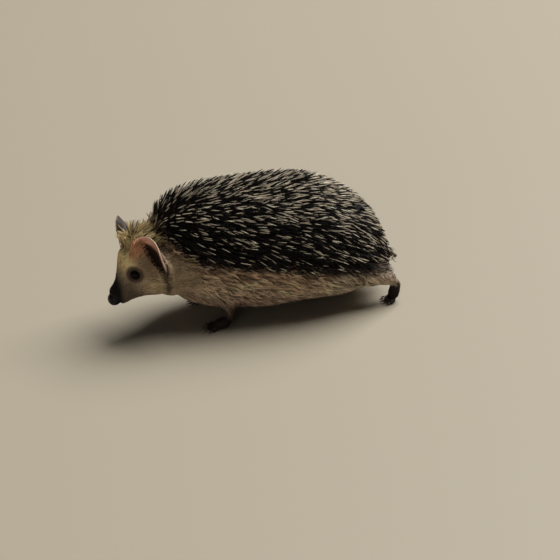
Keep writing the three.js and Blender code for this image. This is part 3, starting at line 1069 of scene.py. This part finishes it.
def mesh_of(name, verts, faces, loop_uv):
    mesh = bpy.data.meshes.new(name)
    mesh.vertices.add(verts.size // 3)
    mesh.vertices.foreach_set("co", (verts * MM).astype(np.float32).ravel())
    mesh.loops.add(faces.size)
    mesh.loops.foreach_set("vertex_index", faces.astype(np.int32).ravel())
    mesh.polygons.add(faces.size // 3)
    mesh.polygons.foreach_set("loop_start", np.arange(0, faces.size, 3, dtype=np.int32))
    mesh.update(calc_edges=True)
    layer = mesh.uv_layers.new(name="OFBake")
    layer.data.foreach_set("uv", loop_uv.astype(np.float32).ravel())
    return mesh


def tubes(name, lines, radii, sides, uv, colour, numbers=None, strips=1):
    """One mesh of tapered tubes along the lines. Each line's last point is its tip. Numbers
    are more values for each hair, and strips is how many hairs share a patch side by side."""
    count, rings = lines.shape[0], lines.shape[1] - 1
    lines = lines.copy()
    lines[..., 2] = np.maximum(lines[..., 2], FLOOR_GAP + radii)  # nothing grows through the floor
    verts = tube_points(lines, radii, sides)
    per_hair = rings * sides + 1
    template, flat = tube_triangles(rings, sides)
    faces = template[None] + (np.arange(count) * per_hair)[:, None, None]
    start = (np.arange(count) % strips / strips)[:, None, None]
    u = uv[:, None, None, 0] + PATCH * (start + flat[None, :, :, 0] / sides / strips - 0.5)
    v = uv[:, None, None, 1] + PATCH * (flat[None, :, :, 1] / rings - 0.5)
    mesh = mesh_of(name, verts, faces, np.clip(np.stack(np.broadcast_arrays(u, v), -1), 0, 1))
    along = np.append(np.repeat(np.arange(rings) / rings, sides), 1.0)
    values = {"along": np.tile(along, count)}
    for key, value in (numbers or {}).items():
        values[key] = np.repeat(value, per_hair)
    for key, value in values.items():
        attribute = mesh.attributes.new(key, "FLOAT", "POINT")
        attribute.data.foreach_set("value", value.astype(np.float32))
    write_tint(mesh, np.repeat(colour, per_hair, 0))
    obj = bpy.data.objects.new(name, mesh)
    scene.collection.objects.link(obj)
    print(f"{name}: {count} hairs, {len(mesh.polygons)} triangles")
    return obj


# %% [markdown]
# ## Spines
# Nearly seven thousand stiff spines cover the back. They are near black, and a pale cream band
# shows on one in six low on the flank and on nearly half of them along the back; fewer are
# banded low down partly as painted shade, for the lower flank that lies in shade. They lie back
# at a low angle, crossing their neighbours a little, and stand up more between the ears, where
# most are pale all along. The bands come from one number along each spine.

# %% Material of the spines
SPINE_BLACK = (0.007, 0.0055, 0.005, 1)
SPINE_BANDS = [  # place along the spine, and share of its pale colour there
    (0.0, 0.5), (0.12, 0.25), (0.18, 0.0), (0.33, 0.0), (0.42, 1.0), (0.88, 1.0), (0.95, 0.3), (1, 0.15),
]


def banded(name, bands):
    """A spine material with bands along it. The 'pale' number is how light the bands are, and
    past 1 it lightens the whole spine."""
    made = material(name, 0.42, 0.17)
    number = {}
    for key in ("along", "shift", "pale"):
        number[key] = add(made, "Attribute", attribute_name=key).outputs["Fac"]
    moved = add(made, "Math", {0: number["along"], 1: number["shift"]}, operation="ADD")
    band = add(made, "ValToRGB", {"Fac": moved.outputs[0]})
    set_bands(band, [(at, (value, value, value)) for at, value in bands])
    past_one = {0: number["pale"], 1: 1}
    whole = add(made, "Math", past_one, operation="SUBTRACT", use_clamp=True)
    shares = {0: band.outputs["Color"], 1: number["pale"], 2: whole.outputs[0]}
    light = add(made, "Math", shares, operation="MULTIPLY_ADD", use_clamp=True)
    colours = {"A": SPINE_BLACK, "B": tint_of(made), "Factor": light.outputs[0]}
    blend = add(made, "Mix", colours, data_type="RGBA")
    surface(made, {"Base Color": blend.outputs["Result"]})
    return made


spine_horn = banded("spine_horn", SPINE_BANDS)
print("spine material with", len(SPINE_BANDS), "stops")

# %% How each spine stands
SPINE_LENGTH, SPINE_RADIUS = 14.5, 0.39
SPINE_SPACING = 1.75
CROWN_SPACING = 1.35
SPINE_BEND = 0.045  # sag of the tip, as a share of the length
SPINE_ROOT = 0.6
SPINE_PLACES = np.array([0, 0.22, 0.5, 0.78, 0.93, 1.0])
SPINE_SHAPE = np.array([0.55, 0.9, 1.0, 0.82, 0.42, 0.0])
SPINE_CREAM = [0.91, 0.79, 0.62]
CROWN_STRAW = [0.58, 0.45, 0.23]


def stand(spot, flat, normal, length, target, steepest):
    """The rise of each spine from the skin, with its tip at a depth below the outer surface."""

    def reach(rise, length):
        ahead = np.cos(rise)[:, None] * flat + np.sin(rise)[:, None] * normal
        return below_tips(spot + length[:, None] * (ahead - SPINE_BEND * normal)) < target

    low = np.full(len(spot), math.radians(2))
    for _ in range(4):
        length = np.where(reach(low, length), length * 0.85, length)
    high = np.radians(steepest)
    for _ in range(6):
        middle = (low + high) / 2
        enough = reach(middle, length)
        high = np.where(enough, middle, high)
        low = np.where(enough, low, middle)
    return low, length


def spine_colours(rng, roots, spot, on_nape):
    """The pale colour of each spine, and how light its bands are. The crown and nape are light
    all along, and a few of the other spines have light bands, fewer low on the flank as painted shade."""
    count = len(spot)
    light = np.maximum(roots.at(on_head) > 0.1, 0.8 * on_nape * ramp(-58, -66, spot[:, 0]))
    # Fewer banded spines low on the flank: partly painted shade, for the lower flank that lies in shade.
    banded_share_with_shade = 0.17 + 0.27 * ramp(12, 45, above_skirt(spot))
    pale = (rng.random(count) < banded_share_with_shade) * rng.uniform(0.55, 1.0, count)
    pale = np.where(rng.random(count) < 0.88 * light, 1 + 0.85 * light, pale)
    colour = mix(np.array(SPINE_CREAM), CROWN_STRAW, light[:, None])
    return colour * rng.uniform(0.7, 1.25, count)[:, None], pale


print("a spine is", SPINE_LENGTH, "mm long and", 2 * SPINE_RADIUS, "mm thick")

# %% Spines at their roots
def spines(roots, seed):
    """Straight tapered spines at the roots, and their colours."""
    rng = np.random.default_rng(seed)
    count = len(roots.triangle)
    spot = roots.at(points)
    x, y, _ = to_head(spot).T
    on_crown, on_nape = roots.at(crown), roots.at(nape)
    nearest = [outer_tree.find_nearest(Vector(p))[1] for p in spot * MM]
    normal = unit(0.35 * roots.at(out) + 0.65 * np.array(nearest))
    lie = lie_of(spot, normal)
    sway = np.radians(rng.normal(0, 9, count) + 11 * patchy(spot, 5, 11))[:, None]
    flat = np.cos(sway) * lie + np.sin(sway) * np.cross(normal, lie)
    # Lengths, and how far below the outer surface each tip ends.
    outer_side = ramp(4, 8, np.abs(y)) * fade(44, 50, x)
    length = SPINE_LENGTH * rng.uniform(0.86, 1.08, count)
    length *= mix(mix(1.0, 0.85, fade(0, 14, above_skirt(spot))), 0.74 - 0.3 * outer_side, on_crown)
    raised = np.maximum(on_crown * ramp(32, 40, x), on_nape) * (1 - outer_side)
    target = np.clip(rng.normal(0.7, 0.8, count), -0.3, 2.5)
    target = target - 1.8 * on_crown * fade(1, 7, np.abs(y)) - 3.0 * raised
    steepest = 26 + 14 * on_nape + (44 - 30 * outer_side) * on_crown + rng.normal(0, 3, count)
    rise, length = stand(spot, flat, normal, length, target, steepest)
    direction = np.cos(rise)[:, None] * flat + np.sin(rise)[:, None] * normal
    t = SPINE_PLACES
    line = spot[:, None] - SPINE_ROOT * normal[:, None]
    line = line + direction[:, None] * (length[:, None] * t)[..., None]
    line -= normal[:, None] * (SPINE_BEND * length[:, None] * t**2)[..., None]
    radius = SPINE_RADIUS * rng.uniform(0.85, 1.12, count) * mix(1.0, 0.62, on_crown)
    colour, pale = spine_colours(rng, roots, spot, on_nape)
    print("rise of the spines in degrees:", np.degrees(np.percentile(rise, [5, 50, 95])).round(0))
    return {
        "line": line,
        "radius": radius[:, None] * SPINE_SHAPE,
        "uv": roots.uv(),
        "colour": colour,
        "shift": rng.uniform(-0.18, 0.06, count),
        "pale": pale,
    }


def spine_piece(name, made, chosen):
    own = {key: values[chosen] for key, values in made.items()}
    numbers = {key: own[key] for key in ("shift", "pale")}
    obj = tubes(name, own["line"], own["radius"], 4, own["uv"], own["colour"], numbers)
    finished(obj, spine_horn)


roots = scatter(crown * (crown > 0.3), CROWN_SPACING, 19)
spine_piece("spines_crown", spines(roots, 20), roots.at(crown) > 0)
roots = scatter(spiny * (1 - crown), SPINE_SPACING, 21)
made = spines(roots, 22)
front_half = roots.at(points)[:, 0] < 0
spine_piece("spines_shoulders", made, front_half)
spine_piece("spines_rump", made, ~front_half)

# %% [markdown]
# ## Fur
# The flanks and belly have soft wavy fur in small locks. A lock is one line that follows the
# skin, with several hairs that start apart and draw together towards its tip. Hairs placed one
# by one would look combed, and cards with painted hair would look flat from close by.

# %% Material of the fur
def furry(name, painted_root_shade):
    """Fur in the marking colours, with painted shade that darkens each hair towards its root."""
    made = material(name, 0.6, 0.25)
    along = add(made, "Attribute", attribute_name="along").outputs["Fac"]
    # Painted shade: each hair is darkest at its root, deep in the coat, and full colour near its tip.
    shades = {"Value": along, "From Max": 0.7, "To Min": painted_root_shade, "To Max": 1.05}
    shade = add(made, "MapRange", shades)
    blend = {0: tint_of(made), "Scale": shade.outputs["Result"]}
    colour = add(made, "VectorMath", blend, operation="SCALE")
    surface(made, {"Base Color": colour.outputs["Vector"]})
    return made


soft_fur = furry("soft_fur", 0.35)
short_fur = furry("short_fur", 0.65)
print("fur materials:", soft_fur.name, short_fur.name)

# %% Lines and hairs of a lock
LEAST_ROOM = 0.4
HAIR_PLACES = [0, 0.3, 0.7, 1]
HAIR_SHAPE = [0.7, 1.0, 0.75, 0.0]

coat_room = below_tips(points)


def lock_lines(rng, roots, length, lift, wave, steps):
    """The middle line of every lock, which waves and leans a little, and its side direction."""
    count = len(roots.triangle)
    room = np.maximum(roots.at(coat_room), LEAST_ROOM) * rng.uniform(0.6, 1.0, count)
    line, side = walk(roots, length, steps, np.minimum(lift * length, room))
    t = np.linspace(0, 1, steps)
    phase = rng.uniform(0, 6.28, count)[:, None]
    turns = rng.uniform(0.6, 1.1, count)[:, None]
    swing = wave * np.sin(phase + 6.28 * turns * t) * t**0.5
    lean = rng.normal(0, 0.10, count)[:, None] * length[:, None] * t**1.3
    return line + side * (swing + lean)[..., None], side


def lock_hairs(rng, line, side, hairs, spread):
    """Several hairs for each lock: they start apart, draw together and end one by one."""
    line = np.repeat(line, hairs, 0)
    side = np.repeat(side, hairs, 0)
    total, steps = line.shape[:2]
    t = np.linspace(0, 1, steps)
    along = unit(np.gradient(line, axis=1))
    up = np.cross(along, side)
    reach = rng.uniform(0.7, 1.0, total)[:, None] * t * (steps - 1)
    low = np.minimum(reach.astype(int), steps - 2)
    part = (reach - low)[..., None]
    row = np.arange(total)[:, None]
    placed = line[row, low] * (1 - part) + line[row, low + 1] * part
    apart = rng.normal(0, spread, (total, 1)) * (1 - 0.75 * t)
    deep = np.abs(rng.normal(0, spread * 0.35, (total, 1))) * np.sin(3.14 * np.minimum(t + 0.2, 1))
    ahead = rng.normal(0, spread, (total, 1, 1)) * along * (1 - 0.5 * t)[:, None]
    return placed + side * apart[..., None] - up * deep[..., None] * 0.5 + ahead


print("room for the fur in mm, middle value:", np.median(coat_room).round(1))

# %% Locks of fur
RED_BROWN = (0.12, 0.075, 0.045)


def lock_colours(rng, roots, seed, hairs, tint_change, dark_share, dark):
    """The marking colour at each root, with streaks, lighter and darker hairs, and dark locks."""
    count = len(roots.triangle)
    streak = 0.22 * patchy(roots.at(points) * [0.3, 1, 1], 3.0, seed)
    colour = roots.at(markings_and_painted_light) * (1 + streak + tint_change * rng.normal(0, 1, count))[:, None]
    darker = rng.random(count) < np.broadcast_to(dark_share, count)
    colour[darker] = mix(colour[darker], dark, 0.8)
    return np.repeat(colour, hairs, 0) * rng.uniform(0.8, 1.2, count * hairs)[:, None]


def locks(name, roots, seed, length, hairs, lift, radius, spread, wave=0.0, steps=5, tint_change=0.16,
          dark_share=0.0, dark=RED_BROWN, finish=soft_fur):
    """One piece of fur: a lock of hairs at every root."""
    rng = np.random.default_rng(seed)
    count = len(roots.triangle)
    length = np.broadcast_to(length, count) * rng.uniform(0.75, 1.15, count)
    line, side = lock_lines(rng, roots, length, lift, wave, steps)
    placed = lock_hairs(rng, line, side, hairs, spread)
    width = radius * rng.uniform(0.7, 1.2, count * hairs)
    radii = width[:, None] * np.interp(np.linspace(0, 1, steps), HAIR_PLACES, HAIR_SHAPE)
    colour = lock_colours(rng, roots, seed, hairs, tint_change, dark_share, dark)
    uv = np.repeat(roots.uv(), hairs, 0)
    finished(tubes(name, placed, radii, 3, uv, colour, strips=hairs), finish)


# %% Fur of the flanks and belly
bare = np.clip(ear["leaf"] + ear["slit"] + nose_share + foot_share, 0, 1)  # no fur, or its own
low_leg = leg_share * (1 - hind * ramp(13, 18, above_floor))
trunk_fur = (1 - spiny * ramp(1.5, 4.0, above)) * (1 - on_head) * (1 - bare) * (1 - low_leg)
flank = trunk_fur * ramp(-34, -26, above) * (out[:, 2] > -0.75)
belly = trunk_fur * (1 - flank)
on_left = points[:, 1] < 0
for name, where, seed in (
    ("flank_fur_left", flank * on_left, 31),
    ("flank_fur_right", flank * ~on_left, 32),
):
    roots = scatter(where, 2.0, seed)
    dark_share = 0.42 * ramp(-16, -3, roots.at(above)) + 0.05
    length = 12.5 * (1 - 0.6 * roots.at(tail_share)) * (1 - 0.35 * roots.at(leg_share))
    locks(name, roots, seed, length, hairs=6, lift=0.38, radius=0.17, spread=0.62, wave=1.3,
          tint_change=0.28, dark_share=dark_share)
roots = scatter(belly, 2.4, 33)
locks("belly_fur", roots, 33, 8.0, hairs=5, lift=0.35, radius=0.17, spread=0.6, wave=0.4)

# %% Ruff behind the ears
x = points[:, 0]
ruff = trunk_fur * ramp(-76, -70, x) * fade(-42, -30, x) * ramp(-30, -22, above)
roots = scatter(ruff, 2.6, 35)
dark_share = 0.15 + 0.5 * ramp(-12, -2, roots.at(above))
locks("ruff_fur", roots, 35, 14.0, hairs=6, lift=0.6, radius=0.19, spread=0.7, wave=2.5, steps=6,
      tint_change=0.4, dark_share=dark_share, dark=(0.13, 0.07, 0.045))

# %% Fur of the head
FACE_FUR_BACK = [6, 14, 30, 45]  # millimetres behind the nose tip
FACE_FUR_LENGTH = [1.2, 2.0, 3.8, 6.5]

face = on_head * (1 - bare) * (1 - crown) * ramp(3.7, 4.1, eye_distance)
roots = scatter(face, 1.03, 41)
length = np.interp(roots.at(in_face)[:, 0], FACE_FUR_BACK, FACE_FUR_LENGTH)
length = length * (0.25 + 0.75 * ramp(4.2, 9, roots.at(eye_distance)))
locks("face_fur", roots, 41, length, hairs=3, lift=0.3, radius=0.11, spread=0.3, steps=4,
      finish=short_fur)

# %% Fur of the legs and feet
limbs = leg_share * (1 - foot_share) * (1 - spiny) * (1 - on_head)
limbs = np.maximum(limbs, foot_share * ramp(6.5, 8.0, above_floor))
roots = scatter(limbs, 1.2, 42)
root_height = roots.at(points)[:, 2]
length = mix(3.6, 5.0, ramp(12, 18, root_height)) + 2.5 * roots.at(hind) * ramp(3, 8, root_height)
locks("leg_fur", roots, 42, length, hairs=4, lift=0.3, radius=0.12, spread=0.35, steps=4)
roots = scatter(foot_share * (above_floor > 1.5), 1.3, 43)
locks("foot_fur", roots, 43, 1.7, hairs=2, lift=0.25, radius=0.08, spread=0.2, steps=3)

# %% [markdown]
# ## Ear hair and whiskers
# The ears are almost bare, with fine short hairs along the pale rim. Whiskers stand out from
# the sides of the snout. They are single lines, so they need no locks.

# %% Ear hair
roots = scatter(ear["leaf"] * ramp(0.2, 0.8, ear["rim"]), 1.2, 51)
locks("ear_rim_hair", roots, 51, 1.8, hairs=2, lift=0.35, radius=0.06, spread=0.25, steps=3,
      finish=short_fur)

# %% Whiskers
WHISKER_RADIUS = 0.075
WHISKER_SHAPE = np.array([1, 0.9, 0.75, 0.55, 0.35, 0])
WHISKER_SAG = 0.16

x, y, z = in_face.T
snout_side = on_head * (1 - bare) * ramp(8, 10, x) * fade(15, 18, x)
snout_side *= ramp(2.5, 4, np.abs(y)) * ramp(-5, -3, z)
snout_side *= fade(1, 3, z)
roots = scatter(snout_side, 2.1, 52)
rng = np.random.default_rng(53)
count = len(roots.triangle)
spot, normal = roots.at(points), unit(roots.at(out))
direction = unit(0.75 * normal + 0.8 * lie_of(spot, normal) + rng.normal(0, 0.12, (count, 3)))
length = rng.uniform(8, 14, count)[:, None, None]
t = np.linspace(0, 1, 6)[None, :, None]
line = spot[:, None] + length * t * direction[:, None]
line = line + WHISKER_SAG * length * t**2 * [0.4, 0, -1.0]
radii = np.tile(WHISKER_RADIUS * WHISKER_SHAPE, (count, 1))
colour = np.tile([0.05, 0.04, 0.035], (count, 1))
finished(tubes("whiskers", line, radii, 3, roots.uv(), colour), soft_fur)

# %% [markdown]
# ## Floor and light
# Soft daylight comes from behind and above on the right, as from a large window. A weak lamp
# overhead, another in front and a dim even light from all round stand in for the room.

# %% Floor
floor_paint = material("pale_floor", 0.55, 0.3)
surface(floor_paint, {"Base Color": (0.325, 0.29, 0.225, 1)})
bpy.ops.mesh.primitive_plane_add(size=8)
floor = bpy.context.object
floor.name = "floor"
floor.data.materials.append(floor_paint)
print("floor:", floor.name)

# %% Lights
LIGHTS = [  # name, place, target, size in metres, watts, colour
    ("window", (3.7, 2.3, 6.1), (0, 0, 0), (6.4, 5.4), 1120, (1.0, 0.98, 0.95)),
    ("ceiling", (-0.2, 0.3, 2.4), (0, 0, 0), (1.5, 1.5), 5, (1.0, 0.97, 0.92)),
    ("front", (-0.9, -1.8, 0.5), (0, 0, 0.04), (1.0, 0.6), 4, (1.0, 0.95, 0.88)),
]

for name, at, target, size, power, colour in LIGHTS:
    lamp = bpy.data.objects.new(name, bpy.data.lights.new(name, "AREA"))
    scene.collection.objects.link(lamp)
    lamp.data.shape = "RECTANGLE"
    lamp.data.size, lamp.data.size_y = size
    lamp.data.energy = power
    lamp.data.color = colour
    lamp.location = at
    lamp.rotation_euler = (Vector(target) - Vector(at)).to_track_quat("-Z", "Y").to_euler()
dim_room = bpy.data.worlds.new("dim_room")
scene.world = dim_room
dim_room.use_nodes = True
background = dim_room.node_tree.nodes["Background"]
background.inputs["Color"].default_value = (0.95, 0.97, 1.0, 1)
background.inputs["Strength"].default_value = 0.03
scene.view_settings.view_transform = "Standard"
print("lights:", [light[0] for light in LIGHTS])
